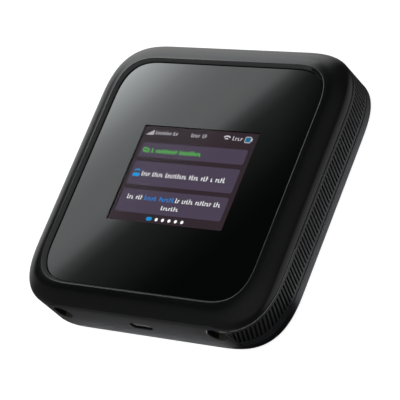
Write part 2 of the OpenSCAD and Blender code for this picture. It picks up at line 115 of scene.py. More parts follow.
FEET = [(x, y) for x in (-FOOT_X, FOOT_X) for y in (-FOOT_X, FOOT_X)]
RIB_PITCH = 1.607
RIB_GAP = 0.72
RIB_DEPTH = 0.9
RIB_LEAN = math.tan(math.radians(20.5))
RIB_LOW_Z = 6.1
RIB_HIGH_Z = 13.1
PAD_HALF = 9.5
USB_W, USB_H, USB_Z = 9.4, 3.6, 9.6
JACK_X, JACK_Z = 33.4, 11.8
JACK_ROOM_W, JACK_ROOM_LOW_Z, JACK_ROOM_TOP_Z = 6.0, 9.6, 15.5
FUNNEL_R, FUNNEL_HOLE_R = 3.5, 2.35
ROOM_Y = 48.0
POWER_W, POWER_H, POWER_Z = 13.0, 3.6, 9.7
POWER_ROOM_W, POWER_ROOM_H = 17.2, 6.0
KEY_BASE_Y = 50.0
FLANGE_IN = 1.35
LABEL_W, LABEL_H, LABEL_Y = 46.0, 26.0, 8.0
GRIP_W, GRIP_H, GRIP_Y = 14.0, 3.2, 49.2
CLIP_W, CLIP_X, CLIP_TOP_Z = 8.0, 22.0, 8.0
VIEW_W, VIEW_H = 50.0, 37.5

# Finer values in millimetres that only the visual has: where the grooves start, the short groove beside
# each jack and the round of the lens.
RIB_PHASE = 0.54
RIB_START_X = 38.95
SHORT_RIB_X, SHORT_RIB_Z = 38.4, 11.7
SHORT_RIB_W, SHORT_RIB_H = 0.36, 2.0
SHORT_RIB_Y, SHORT_RIB_IN_Y = -51.8, -51.2
LENS_EDGE = 0.1


# ---------------------------------------- outline
def outline_table():
    """Core points and directions round the outline, counter-clockwise from the middle of the ports' face."""
    steps = 120
    t = np.linspace(0, 1, steps + 1)
    a = np.radians(90) * t * t * (3 - 2 * t)
    straight = np.linspace(0, CORE, 5)[:-1]
    cx = np.concatenate([straight, np.full(steps + 1, CORE), np.full(4, CORE)])
    cy = np.concatenate([np.full(4, -CORE), np.full(steps + 1, -CORE), -straight[::-1] - 0.0])
    dx = np.concatenate([np.zeros(4), np.sin(a) ** (2 / POWER), np.ones(4)])
    dy = np.concatenate([-np.ones(4), -(np.cos(a).clip(0) ** (2 / POWER)), np.zeros(4)])
    rows = np.stack([cx, cy, dx, dy], 1)
    turned = []
    for _ in range(4):
        turned.append(rows[:-1])
        rows = np.stack([-rows[:, 1], rows[:, 0], -rows[:, 3], rows[:, 2]], 1)
    table = np.concatenate(turned)
    return np.concatenate([table, table[:1]])


TABLE = outline_table()
EDGE = TABLE[:, :2] + TABLE[:, 2:] * CORNER
RUN = np.concatenate([[0], np.cumsum(np.linalg.norm(np.diff(EDGE, axis=0), axis=1))])
LENGTH = RUN[-1]


def at(s, half):
    """Points at arc lengths s and half widths half."""
    s = np.mod(s, LENGTH)
    cx, cy, dx, dy = (np.interp(s, RUN, TABLE[:, k]) for k in range(4))
    return cx + dx * (half - CORE), cy + dy * (half - CORE)


def front_run(x):
    """Arc length from the middle of the ports' face to the sideways distance x on its right half."""
    quarter = len(RUN) // 8
    return float(np.interp(x, EDGE[:quarter, 0], RUN[:quarter]))


def crown_half(z):
    """Half width of the outer surface at height z."""
    rise = np.clip((np.asarray(z, float) - CROWN_Z) / CROWN_RISE, 0, 1)
    return HALF - CROWN_REACH * (1 - np.sqrt(1 - rise * rise))


def face_top(s):
    """Height of the side band's upper edge at arc lengths s."""
    x, y = at(s, HALF)
    slope = np.interp(np.abs(x), [FACE_FLAT_X, FACE_SLOPE_X], [FACE_TOP_Z, TOP_SEAM_Z - SEAM / 2])
    return np.where(y < -CORE, slope, TOP_SEAM_Z - SEAM / 2)


# ---------------------------------------- meshes
def finish_mesh(mesh, angle=32.0):
    """Smooth faces with sharp edges past an angle in degrees."""
    for p in mesh.polygons:
        p.use_smooth = True
    mesh.set_sharp_from_angle(angle=math.radians(angle))


def make(name, verts, faces, material=None, body=None, angle=32.0, weld=True):
    """Object from points in millimetres. Welds its doubles and rides it on a body."""
    mesh = bpy.data.meshes.new(name)
    mesh.from_pydata((np.asarray(verts, float) * MM).tolist(), [], faces)
    if weld:
        bm = bmesh.new()
        bm.from_mesh(mesh)
        bmesh.ops.remove_doubles(bm, verts=bm.verts, dist=2e-6)
        bmesh.ops.dissolve_degenerate(bm, edges=bm.edges, dist=1e-6)
        bmesh.ops.recalc_face_normals(bm, faces=bm.faces)
        bm.to_mesh(mesh)
        bm.free()
    finish_mesh(mesh, angle)
    made = bpy.data.objects.new(name, mesh)
    bpy.context.scene.collection.objects.link(made)
    if material is not None:
        mesh.materials.append(material)
    if body is not None:
        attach(made, body)
    return made


def grid_faces(columns, rows, wrap_rows=True, wrap_columns=True):
    """Quads of a grid of points numbered column by column."""
    faces = []
    for j in range(columns if wrap_columns else columns - 1):
        a, b = j * rows, (j + 1) % columns * rows
        for r in range(rows if wrap_rows else rows - 1):
            q = (r + 1) % rows
            faces.append((a + r, b + r, b + q, a + q))
    return faces


def loft(name, s, half, z, caps=False, **how):
    """Object through a grid of arc lengths, half widths and heights, as a closed tube or with caps."""
    x, y = at(s, half)
    columns, rows = z.shape
    verts = np.stack([x, y, z], 2).reshape(-1, 3)
    faces = grid_faces(columns, rows, wrap_rows=not caps)
    if caps:
        faces.append(tuple(j * rows for j in range(columns))[::-1])
        faces.append(tuple(j * rows + rows - 1 for j in range(columns)))
    return make(name, verts, faces, **how)


def even_columns(straight=3, corner=56, extra=()):
    """Arc lengths of columns that follow the outline, with extra ones."""
    t = np.linspace(0, 1, corner + 1)
    quarter = LENGTH / 4
    run = quarter / 2 - CORE
    bend = CORE + run * 2 * t
    flat = np.linspace(-CORE, CORE, straight + 2)[1:-1]
    base = np.concatenate([flat, bend])
    s = np.concatenate([base + k * quarter for k in range(4)] + [np.asarray(extra, float)])
    return np.unique(np.round(np.mod(s, LENGTH), 5))


def arc(centre, radius, start, end, steps):
    """Points of an arc in the plane, angles in degrees."""
    a = np.radians(np.linspace(start, end, steps + 1))
    return [(centre[0] + radius * math.cos(v), centre[1] + radius * math.sin(v)) for v in a]


def rounded(w, h, r, steps=8, cx=0.0, cy=0.0):
    """Points of a rectangle with circular corners, counter-clockwise."""
    r = min(r, w / 2, h / 2)
    points = []
    for k, (sx, sy) in enumerate([(1, 1), (-1, 1), (-1, -1), (1, -1)]):
        points += arc((cx + sx * (w / 2 - r), cy + sy * (h / 2 - r)), r, 90 * k, 90 * k + 90, steps)
    return points


def stack(rings, caps=True):
    """Points and faces of a solid through rings of points, one after another."""
    n = len(rings[0])
    verts = [p for ring in rings for p in ring]
    faces = []
    for k in range(len(rings) - 1):
        a, b = k * n, (k + 1) * n
        faces += [(a + i, a + (i + 1) % n, b + (i + 1) % n, b + i) for i in range(n)]
    if caps:
        faces.append(tuple(range(n))[::-1])
        faces.append(tuple((len(rings) - 1) * n + i for i in range(n)))
    return verts, faces


def prism(outline, z0, z1):
    """Solid between two heights on an outline."""
    return stack([[(x, y, z) for x, y in outline] for z in (z0, z1)])


def pillow(w, h, r, z0, z1, edge, cx=0.0, cy=0.0, steps=8, rounds=3):
    """Rounded plate with a rounded upper edge."""
    rings = [[(x, y, z0) for x, y in rounded(w, h, r, steps, cx, cy)]]
    for k in range(rounds + 1):
        a = math.radians(90 * k / rounds)
        inset = edge * (1 - math.cos(a))
        ring = rounded(w - 2 * inset, h - 2 * inset, max(r - inset, 0.01), steps, cx, cy)
        rings.append([(x, y, z1 - edge + edge * math.sin(a)) for x, y in ring])
    return stack(rings)


def joined(*solids):
    """One list of points and faces from several."""
    verts, faces = [], []
    for v, f in solids:
        faces += [tuple(i + len(verts) for i in face) for face in f]
        verts += list(v)
    return verts, faces


def cut(piece, *solids):
    """Takes solids out of a piece, and leaves no modifier."""
    for k, (verts, faces) in enumerate(solids):
        tool = make(f"{piece.name}_tool_{k}", verts, faces)
        step = piece.modifiers.new("cut", "BOOLEAN")
        step.operation = "DIFFERENCE"
        step.solver = "EXACT"
        step.object = tool
        bpy.context.view_layer.update()
        done = bpy.data.meshes.new_from_object(piece.evaluated_get(bpy.context.evaluated_depsgraph_get()))
        piece.modifiers.clear()
        old = piece.data
        piece.data = done
        bpy.data.meshes.remove(old)
        bpy.data.objects.remove(tool)
    finish_mesh(piece.data)
    return piece


# ---------------------------------------- materials
def shader(name):
    """A new material with its node tree and Principled node."""
    made = bpy.data.materials.new(name)
    made.use_nodes = True
    return made, made.node_tree, made.node_tree.nodes["Principled BSDF"]


def tune(node, **sockets):
    """Sets a node's sockets, with underscores for the spaces in their names."""
    for name, value in sockets.items():
        node.inputs[name.replace("_", " ")].default_value = value
    return node


def noise(tree, scale, detail=2.0):
    """Uneven pattern over the piece, from 0 to 1."""
    place = tree.nodes.new("ShaderNodeTexCoord")
    made = tune(tree.nodes.new("ShaderNodeTexNoise"), Scale=scale, Detail=detail)
    tree.links.new(place.outputs["Object"], made.inputs["Vector"])
    return made.outputs["Fac"]


def blend(tree, factor, a, b):
    """Colour between a and b."""
    made = tree.nodes.new("ShaderNodeMix")
    made.data_type = "RGBA"
    tune(made, A=(*a, 1), B=(*b, 1))
    tree.links.new(factor, made.inputs["Factor"])
    return made.outputs["Result"]


def ranged(tree, value, smooth=False, **ends):
    """Value carried from one range to another, with soft ends or straight."""
    made = tune(tree.nodes.new("ShaderNodeMapRange"), **ends)
    if smooth:
        made.interpolation_type = "SMOOTHSTEP"
    tree.links.new(value, made.inputs["Value"])
    return made.outputs["Result"]


def combined(tree, operation, a, b):
    """Sum or product of a and b, where b may be a number."""
    made = tree.nodes.new("ShaderNodeMath")
    made.operation = operation
    tree.links.new(a, made.inputs[0])
    if isinstance(b, float):
        made.inputs[1].default_value = b
    else:
        tree.links.new(b, made.inputs[1])
    return made.outputs[0]


def distance_along(tree, source, direction):
    """How far a vector reaches along a direction."""
    made = tree.nodes.new("ShaderNodeVectorMath")
    made.operation = "DOT_PRODUCT"
    made.inputs[1].default_value = direction
    tree.links.new(source, made.inputs[0])
    return made.outputs["Value"]


def moulded(name, dark, light, rough, grain=900.0, bump=0.08, spread=0.08, **sockets):
    """Moulded plastic, rubber, metal or paper: blotchy tone, uneven gloss and a fine grain."""
    made, tree, main = shader(name)
    node, link = tree.nodes.new, tree.links.new
    wide = noise(tree, 40.0, 5.0)
    fine = noise(tree, grain, 3.0)
    share = node("ShaderNodeMath")
    share.operation = "MULTIPLY_ADD"
    share.inputs[1].default_value = 0.35
    share.use_clamp = True
    gloss = ranged(tree, wide, To_Min=max(rough - spread, 0.01), To_Max=rough + spread)
    relief = tune(node("ShaderNodeBump"), Strength=bump, Distance=0.00005)
    link(fine, share.inputs[0])
    link(wide, share.inputs[2])
    link(blend(tree, share.outputs[0], dark, light), main.inputs["Base Color"])
    link(gloss, main.inputs["Roughness"])
    link(fine, relief.inputs["Height"])
    link(relief.outputs["Normal"], main.inputs["Normal"])
    tune(main, **sockets)
    return made


def lit(name, colour, fall=0.06):
    """Picture on the display: light with a slight fall-off across the backlight."""
    made, tree, main = shader(name)
    low, high = ([c * share for c in colour] for share in (1 - fall, 1 + fall))
    tree.links.new(blend(tree, noise(tree, 30.0), low, high), main.inputs["Emission Color"])
    tune(main, Emission_Strength=1.0, Base_Color=(0.002, 0.002, 0.002, 1), Roughness=0.5,
         Specular_IOR_Level=0.0)
    return made


def linear(code):
    """Linear colour from a hexadecimal screen colour."""
    values = [int(code[k : k + 2], 16) / 255 for k in (0, 2, 4)]
    return tuple(v / 12.92 if v <= 0.04045 else ((v + 0.055) / 1.055) ** 2.4 for v in values)


bezel_plastic = moulded("bezel_plastic", (0.003, 0.0033, 0.0031), (0.0044, 0.0048, 0.0046), 0.2, 1500, 0.03,
                        0.02)
frame_plastic = moulded("frame_plastic", (0.017, 0.0175, 0.019), (0.023, 0.0235, 0.025), 0.42, 2600, 0.2,
                        0.05)
# Painted shade: near-black colour for the groove walls and bottoms, standing in for the shade deep inside the
# grooves.
groove_painted_shade = moulded("groove_painted_shade", (0.004, 0.004, 0.004), (0.007, 0.007, 0.007), 0.6, 2600, 0.2, 0.05)
trim_satin = moulded("trim_satin", (0.044, 0.045, 0.045), (0.054, 0.055, 0.055), 0.68, 1800, 0.05, 0.04,
                     Specular_IOR_Level=0.2)
crest_satin = moulded("crest_satin", (0.009, 0.009, 0.010), (0.013, 0.013, 0.014), 0.35, 1800, 0.05, 0.04,
                      Specular_IOR_Level=0.22)
# Painted shade: a dark matte copy of the crest plastic, used on the right side only so the crest and the dish
# top there read darker.
right_crest_painted_shade = moulded("right_crest_painted_shade", (0.009, 0.009, 0.010), (0.013, 0.013, 0.014), 0.85, 1800, 0.05, 0.04,
                      Specular_IOR_Level=0.0)
nickel = moulded("nickel", (0.42, 0.42, 0.42), (0.52, 0.52, 0.51), 0.35, 1400, 0.08, 0.08, Metallic=0.4)
cover_plastic = moulded("cover_plastic", (0.018, 0.019, 0.0215), (0.024, 0.025, 0.028), 0.44, 2600, 0.22,
                        0.05)
# Painted reflection: a dull brownish tone, lighter than the painted shade round it, for the upward-looking
# floor of each funnel.
port_floor_painted_reflection = moulded("port_floor_painted_reflection", (0.014, 0.013, 0.009), (0.020, 0.018, 0.012), 0.4, 2600, 0.1, 0.05)
# Painted highlight: light grey for the band's upper edge at the near corner and the upper lip of each funnel.
rim_painted_highlight = moulded("rim_painted_highlight", (0.14, 0.14, 0.143), (0.18, 0.18, 0.183), 0.3, 2600, 0.1, 0.05)
# Painted shade: near-black colour for the inner walls of the openings, standing in for the shade inside them.
port_painted_shade = moulded("port_painted_shade", (0.0008, 0.0008, 0.0008), (0.0015, 0.0015, 0.0015), 0.7, 2600, 0.1, 0.05,
                     Specular_IOR_Level=0.15)
jack_metal = moulded("jack_metal", (0.14, 0.11, 0.06), (0.2, 0.15, 0.08), 0.4, 1400, 0.05, 0.06, Metallic=0.9)
lens_black = moulded("lens_black", (0.0019, 0.0022, 0.0021), (0.0026, 0.0029, 0.0028), 0.035, 300, 0.004,
                     0.01)
black_ink = moulded("black_ink", (0.002, 0.002, 0.002), (0.004, 0.004, 0.004), 0.5, 900, 0.05, 0.05)
adhesive = moulded("adhesive", (0.02, 0.02, 0.021), (0.03, 0.03, 0.031), 0.6, 900, 0.1, 0.05)
panel_black = moulded("panel_black", (0.004, 0.004, 0.005), (0.007, 0.006, 0.008), 0.25, 900, 0.02, 0.05)
backlight_white = moulded("backlight_white", (0.72, 0.73, 0.75), (0.8, 0.81, 0.82), 0.4, 700, 0.05, 0.05)
steel = moulded("steel", (0.5, 0.51, 0.53), (0.62, 0.63, 0.64), 0.3, 1400, 0.1, 0.08, Metallic=1.0)
shield_tin = moulded("shield_tin", (0.52, 0.53, 0.54), (0.66, 0.67, 0.67), 0.38, 900, 0.12, 0.1, Metallic=1.0)
gold = moulded("gold", (0.75, 0.52, 0.2), (0.87, 0.65, 0.3), 0.25, 1400, 0.05, 0.06, Metallic=1.0)
flex_film = moulded("flex_film", (0.42, 0.17, 0.03), (0.5, 0.22, 0.05), 0.35, 900, 0.05, 0.08)
black_plastic = moulded("black_plastic", (0.011, 0.011, 0.012), (0.018, 0.018, 0.019), 0.45, 1800, 0.18, 0.06)
rubber = moulded("rubber", (0.012, 0.012, 0.012), (0.022, 0.022, 0.022), 0.75, 1500, 0.3, 0.06)
battery_skin = moulded("battery_skin", (0.014, 0.014, 0.016), (0.024, 0.024, 0.027), 0.42, 500, 0.25, 0.08)
paper = moulded("paper", (0.62, 0.62, 0.59), (0.72, 0.72, 0.69), 0.6, 1200, 0.15, 0.05)
board = moulded("board", (0.004, 0.035, 0.018), (0.008, 0.055, 0.028), 0.35, 700, 0.1, 0.08)
chip = moulded("chip", (0.008, 0.008, 0.009), (0.014, 0.014, 0.015), 0.5, 1600, 0.15, 0.06)
thermal_pad = moulded("thermal_pad", (0.24, 0.29, 0.35), (0.3, 0.36, 0.43), 0.8, 1200, 0.3, 0.05)
graphite = moulded("graphite", (0.06, 0.06, 0.065), (0.1, 0.1, 0.105), 0.4, 900, 0.2, 0.08, Metallic=0.6)
antenna_film = moulded("antenna_film", (0.5, 0.24, 0.1), (0.6, 0.3, 0.13), 0.35, 900, 0.1, 0.08, Metallic=0.8)
white_plastic = moulded("white_plastic", (0.68, 0.68, 0.65), (0.76, 0.76, 0.73), 0.45, 1200, 0.08, 0.05)


def window_glass():
    """Clear glass over the picture."""
    made, tree, main = shader("window_glass")
    tree.links.new(ranged(tree, noise(tree, 60.0), To_Min=0.0, To_Max=0.02), main.inputs["Roughness"])
    tune(main, Base_Color=(0.97, 0.98, 0.98, 1), Transmission_Weight=1.0, Specular_IOR_Level=0.1, IOR=1.12)
    return made


glass = window_glass()


def half_of(x, y):
    """Half width of the outline through a point, the reverse of at()."""
    past = [max(abs(v) - CORE, 0.0) ** POWER for v in (x, y)]
    return CORE + sum(past) ** (1 / POWER)


def paint(piece, material, chosen):
    """Gives the faces whose centre in millimetres is chosen a second material."""
    piece.data.materials.append(material)
    for p in piece.data.polygons:
        if chosen(*(p.center / MM)):
            p.material_index = len(piece.data.materials) - 1


# ---------------------------------------- side band
# Steps from a groove's edge and the share of its depth there
COLUMN_LIP = ((-0.2, 0), (-0.05, 0.06), (0.02, 0.3), (0.07, 1))
ROW_LIP = ((-0.15, 0), (-0.03, 0.06), (0.04, 0.3), (0.12, 1))
RIB_REACH = -ROW_LIP[0][0]
PAD_COLUMNS = 7.4


def across_gap(low, high, lip):
    """Places and shares of depth across a groove from low to high."""
    return [(low + d, w) for d, w in lip] + [(high - d, w) for d, w in lip[::-1]]


def rib_columns():
    """Arc length at mid height and groove weight of every column of the side band."""
    end = front_run(FACE_END_X)
    back = LENGTH / 2
    start = front_run(RIB_START_X)
    spots = RIB_PHASE + RIB_PITCH * np.arange(int(LENGTH / RIB_PITCH))
    spots = spots[(spots > start) & (spots < LENGTH - start) & (np.abs(spots - back) > PAD_HALF)]
    rows = [(c + d, w, 1.0) for c in spots for d, w in across_gap(-RIB_GAP / 2, RIB_GAP / 2, COLUMN_LIP)]
    plain = [*np.linspace(0, CORE, 6), *np.linspace(CORE, end, 14)[1:], front_run(FACE_FLAT_X)]
    rows += [(v, 0.0, 0.0) for v in plain]
    rows += [(LENGTH - v, 0.0, 0.0) for v in plain if v > 0]
    rows += [(back + v, 0.0, 0.0) for v in np.linspace(-PAD_COLUMNS, PAD_COLUMNS, 5)]
    rows = sorted(rows)
    # The column at each end of the ports' face stands twice: once for the band, once for the face.
    doubled = []
    for v, w, m in rows:
        inside = v < end + 1e-6 or v > LENGTH - end - 1e-6
        if abs(v - end) < 1e-6:
            doubled += [(v, w, m, True), (v, w, m, False)]
        elif abs(v - (LENGTH - end)) < 1e-6:
            doubled += [(v, w, m, False), (v, w, m, True)]
        else:
            doubled.append((v, w, m, inside))
    return doubled, end


def build_mid_frame():
    """Side band with the grooves and, on the ports' face only, its lower part."""
    columns, end = rib_columns()
    s0, weight, lean, face = (np.array(c)[:, None] for c in zip(*columns))
    low, high = RIB_LOW_Z, RIB_HIGH_Z
    rib_rows = sorted(across_gap(low, high, ROW_LIP) + [(low + d, 1) for d in (1.8, 3.5, 5.2)])
    mid = (low + high) / 2
    above = high + 1
    base = BASE_SEAM_Z + SEAM / 2
    bottom = base - 1.45
    edge = 0.15
    z_parts, h_parts, s_parts, d_parts = [], [], [], []

    def row(z, half, at_z=None, depth=0.0):
        """One row: heights, half widths, the height that sets its lean and its share of a groove's depth."""
        z = np.broadcast_to(np.asarray(z, float), s0.shape)
        level = np.clip(z if at_z is None else at_z, low - RIB_REACH, high + RIB_REACH)
        z_parts.append(z)
        h_parts.append(np.broadcast_to(np.asarray(half, float), s0.shape))
        s_parts.append(s0 + lean * RIB_LEAN * (level - mid))
        d_parts.append(np.full(s0.shape, depth))

    def either(on_face, elsewhere):
        """One value for the columns of the ports' face and another for the rest."""
        return np.where(face, on_face, elsewhere)

    # Lower part, which only the ports' face has
    r = FACE_LOW_R
    for k in range(6):
        a = math.radians(18 * k)
        half = HALF - r * (1 - math.sin(a))
        row(either(COVER_LOW_Z + r * (1 - math.cos(a)), base), either(half, HALF - edge), low)
    row(either(base - 0.4, base), either(HALF, HALF - edge), low)
    row(base + edge, HALF, low)
    for z, w in rib_rows:
        row(z, HALF, depth=w)
    start = high + RIB_REACH
    top_s = s0 + lean * RIB_LEAN * (start - mid)
    top = face_top(np.clip(top_s, end, LENGTH - end) * ~face + s0 * face)
    for share in (0.3, 0.6, 0.85):
        z = start + (top - edge - start) * share
        row(z, crown_half(z), above)
    row(top - edge, crown_half(top - edge), above)
    row(top - edge * 0.3, crown_half(top) - edge * 0.3, above)
    row(top, crown_half(top) - edge, above)
    row(top, INNER, above)
    for z, half in ((TRAY_TOP_Z + 1, INNER), (TRAY_TOP_Z + 1, SKIRT - 0.2), (TRAY_TOP_Z, SKIRT - 0.2),
                    (TRAY_TOP_Z, INNER), (base + 0.25, INNER), (base + 0.25, INNER - 1), (bottom, INNER - 1)):
        row(z, half, mid)
    row(bottom, either(INNER, INNER + 0.2), mid)
    row(either(COVER_LOW_Z, base), either(INNER, INNER + 0.2), mid)
    z, half = np.concatenate(z_parts, 1), np.concatenate(h_parts, 1)
    s, depth = np.concatenate(s_parts, 1), np.concatenate(d_parts, 1)
    inside = np.minimum(s - end, LENGTH - end - s)
    s = np.where(face, s, np.clip(s, end, LENGTH - end))
    shallow = np.clip(inside / 0.3, 0, 1)
    half = half - RIB_DEPTH * np.minimum(weight, depth) * np.where(face, 0, shallow)
    return loft("side_band", s, half, z, material=frame_plastic, body="chassis", angle=38)


def bar_tool(w, h, flare, y_face, y_in, x, z, sign):
    """Slot with round ends and a small flare at the face, through the wall on the side that sign gives."""
    reach = abs(y_in - y_face)
    rings = []
    for grow, depth in ((flare + 1.0, -1.0), (flare, 0.0), (0.0, flare), (0.0, reach)):
        rings.append([(px, pz, depth) for px, pz in rounded(w + 2 * grow, h + 2 * grow, h, 10)])
    verts, faces = stack(rings)
    return [(x + a, y_face - sign * c, z + b) for a, b, c in verts], faces


def cone_tool(profile, x, z, y_face, steps=48):
    """Round tool along Y from the ports' face inwards, through pairs of radius and depth."""
    rings = []
    for radius, depth in profile:
        rings.append([(x + radius * math.cos(2 * math.pi * k / steps), y_face + depth,
                       z + radius * math.sin(2 * math.pi * k / steps)) for k in range(steps)])
    return stack(rings)


def box_tool(low, high):
    """Straight box between two corners."""
    outline = [(low[0], low[1]), (high[0], low[1]), (high[0], high[1]), (low[0], high[1])]
    return prism(outline, low[2], high[2])


def port_tools():
    """Openings in the ports' face, and the power button's on the back."""
    funnel = [(FUNNEL_R + 0.9, -0.6), (FUNNEL_R + 0.3, -0.02), (FUNNEL_R + 0.1, 0.16), (FUNNEL_R - 0.25, 0.5),
              (FUNNEL_HOLE_R + 0.1, 1.35), (FUNNEL_HOLE_R, 1.45), (FUNNEL_HOLE_R, 4.0)]
    beyond = INNER + 0.01
    tools = [bar_tool(USB_W, USB_H, 0.25, -HALF, 2 - INNER, 0, USB_Z, -1)]
    for side in (-1, 1):
        x = side * JACK_X
        tools.append(cone_tool(funnel, x, JACK_Z, -HALF + 0.08))
        tools.append(box_tool((x - JACK_ROOM_W / 2, -beyond, JACK_ROOM_LOW_Z),
                              (x + JACK_ROOM_W / 2, -ROOM_Y, JACK_ROOM_TOP_Z)))
        tools.append(bar_tool(SHORT_RIB_W, SHORT_RIB_H, 0.03, SHORT_RIB_Y, SHORT_RIB_IN_Y, side * SHORT_RIB_X,
                              SHORT_RIB_Z, -1))
    tools.append(bar_tool(POWER_W + 0.3, POWER_H + 0.3, 0.15, HALF, ROOM_Y, 0, POWER_Z, 1))
    tools.append(box_tool((-POWER_ROOM_W / 2, ROOM_Y, POWER_Z - POWER_ROOM_H / 2),
                          (POWER_ROOM_W / 2, beyond, POWER_Z + POWER_ROOM_H / 2)))
    return tools


def from_jack(x, z):
    """Distance from the nearer jack's axis."""
    return math.hypot(abs(x) - JACK_X, z - JACK_Z)


def in_groove(x, y, z):
    """Walls and bottoms of the grooves, where shade is painted."""
    return CORE < half_of(x, y) < HALF - 0.25 and RIB_LOW_Z < z < RIB_HIGH_Z


def in_port(x, y, z):
    """Inner walls of the openings in the ports' face, where shade is painted."""
    usb = abs(x) < USB_W / 2 + 0.1 and abs(z - USB_Z) < USB_H / 2 + 0.1
    short_rib = abs(abs(x) - SHORT_RIB_X) < 0.25 and y > SHORT_RIB_Y + 0.18 and z > RIB_LOW_Z
    return -HALF + 0.25 < y < -INNER + 2 and (usb or from_jack(x, z) < FUNNEL_R or short_rib)


def on_funnel_floor(x, y, z):
    """Lower part of a jack's funnel, which looks up and gets a painted reflection."""
    sideways = x - math.copysign(JACK_X, x)
    return -HALF + 0.25 < y < -INNER and z < JACK_Z - 2.0 and from_jack(x, z) < FUNNEL_R and sideways > -1.2


def on_corner_edge(x, y, z):
    """Upper edge of the band round the near corner, which gets a painted highlight."""
    return TOP_SEAM_Z - 0.31 < z < TOP_SEAM_Z and half_of(x, y) > HALF - 0.16 and x > 20 and y < -20


def on_funnel_lip(x, y, z):
    """Upper lip of a jack's funnel, which gets a painted highlight."""
    round_mouth = abs(from_jack(x, z) - FUNNEL_R - 0.2) < 0.12
    return -HALF + 0.01 < y < -HALF + 0.25 and z > JACK_Z + 0.6 and round_mouth


side_band = cut(build_mid_frame(), *port_tools())
# Painted shade: the walls and bottoms of the grooves are painted near-black.
paint(side_band, groove_painted_shade, in_groove)
# Painted shade: the inner walls of the USB slot, the jack funnels and the short grooves are painted
# near-black.
paint(side_band, port_painted_shade, in_port)
# Painted reflection: the funnel floors get a brownish tone in place of the painted shade.
paint(side_band, port_floor_painted_reflection, on_funnel_floor)
# Painted highlight along the band's upper edge at the near corner.
paint(side_band, rim_painted_highlight, on_corner_edge)
# Painted highlight on the upper lip of each funnel.
paint(side_band, rim_painted_highlight, on_funnel_lip)
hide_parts("mid_frame")


# ---------------------------------------- top bezel
def build_bezel():
    """Crowned ring: seam, crown, crest, rim of the lens, ledge and skirt."""
    flat, slope = front_run(FACE_FLAT_X), front_run(FACE_SLOPE_X)
    extra = np.concatenate([np.linspace(flat - 1, slope + 1, 40), np.linspace(29, 38, 20)])
    s = even_columns(extra=np.concatenate([extra, LENGTH - extra]))[:, None]
    low = face_top(s) + SEAM
    x, y = at(s, HALF)
    over_jack = (np.abs(np.abs(x) - JACK_X) < 3.2) & (y < -CORE)
    skirt_low = np.where(over_jack, 14.4, SKIRT_Z)
    edge = 0.18
    zs, hs = [], []

    def row(z, half):
        """One row of heights and half widths."""
        zs.append(np.broadcast_to(np.asarray(z, float), s.shape))
        hs.append(np.broadcast_to(np.asarray(half, float), s.shape))

    row(low, INNER - 0.2)
    row(low, crown_half(low) - edge)
    row(low + edge * 0.3, crown_half(low) - edge * 0.3)
    levels = [TOP_SEAM_Z + SEAM / 2 + edge]
    levels += [CROWN_Z + CROWN_RISE * math.sin(CREST_ANGLE * k / 20) for k in range(20)]
    for level in levels:
        z = np.maximum(level, low + edge)
        row(z, crown_half(z))
    row(CREST_Z - 0.03, crown_half(CREST_Z - 0.03))
    row(CREST_Z, CREST_HALF - 0.03)
    row(CREST_Z - 0.02, CREST_HALF - 0.08)
    row(CREST_Z - 0.06, CREST_HALF - 0.12)
    row(LENS_Z + 0.45, LENS_HALF + 0.34)
    row(LENS_Z + 0.3, LENS_HALF + 0.27)
    row(LENS_Z + 0.1, LENS_HALF + 0.25)
    row(LEDGE_Z, LENS_HALF + 0.25)
    row(LEDGE_Z, LEDGE_HALF)
    row(LEDGE_LOW_Z, LEDGE_HALF)
    row(LEDGE_LOW_Z, SKIRT - 1)
    row(LEDGE_LOW_Z - 1, SKIRT)
    row(skirt_low, SKIRT)
    row(skirt_low, INNER - 0.2)
    z, half = np.concatenate(zs, 1), np.concatenate(hs, 1)
    s = np.repeat(s, z.shape[1], 1)
    return loft("crowned_bezel", s, half, z, material=bezel_plastic, body="chassis", angle=28)


def on_rim(x, y, z):
    """Rim round the lens and the dish that rises from it to the crest."""
    return LENS_HALF + 0.1 < half_of(x, y) < CREST_HALF - 0.12 and z > LENS_Z - 0.2


def on_crest(x, y, z):
    """Rounded edge on the inner side of the crest."""
    return -0.12 < half_of(x, y) - CREST_HALF < -0.02 and z > LENS_Z


def on_right_crest(x, y, z):
    """The same edge along the right side, with the top of the dish, where shade is painted."""
    return -0.5 < half_of(x, y) - CREST_HALF < -0.02 and z > LENS_Z and x > 36 and y > -30


def screw_boss(x, y):
    """Tube for a screw under the bezel."""
    low, high = TRAY_TOP_Z, LEDGE_LOW_Z + 0.2
    outer, inner = (rounded(2 * r, 2 * r, r, 8, x, y) for r in (2.5, 0.8))
    profile = ((inner, low), (outer, low), (outer, high), (inner, high))
    rings = [[(a, b, z) for a, b in ring] for ring, z in profile]
    verts, faces = stack(rings, caps=False)
    n = len(outer)
    faces += [(3 * n + i, 3 * n + (i + 1) % n, (i + 1) % n, i) for i in range(n)]
    return verts, faces


bezel = build_bezel()
paint(bezel, trim_satin, on_rim)
paint(bezel, crest_satin, on_crest)
# Painted shade: on the right side the crest edge and the top of the dish get the darker matte plastic instead
# of the lighter trim.
paint(bezel, right_crest_painted_shade, on_right_crest)
boss_spots = [(40.5, 40.5), (-40.5, 40.5), (40.5, -40.5), (-40.5, -40.5), (45, -18), (-45, -18)]
bosses = joined(*(screw_boss(x, y) for x, y in boss_spots))
posts = make("screw_posts", *bosses, material=bezel_plastic, body="chassis")
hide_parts("top_bezel")


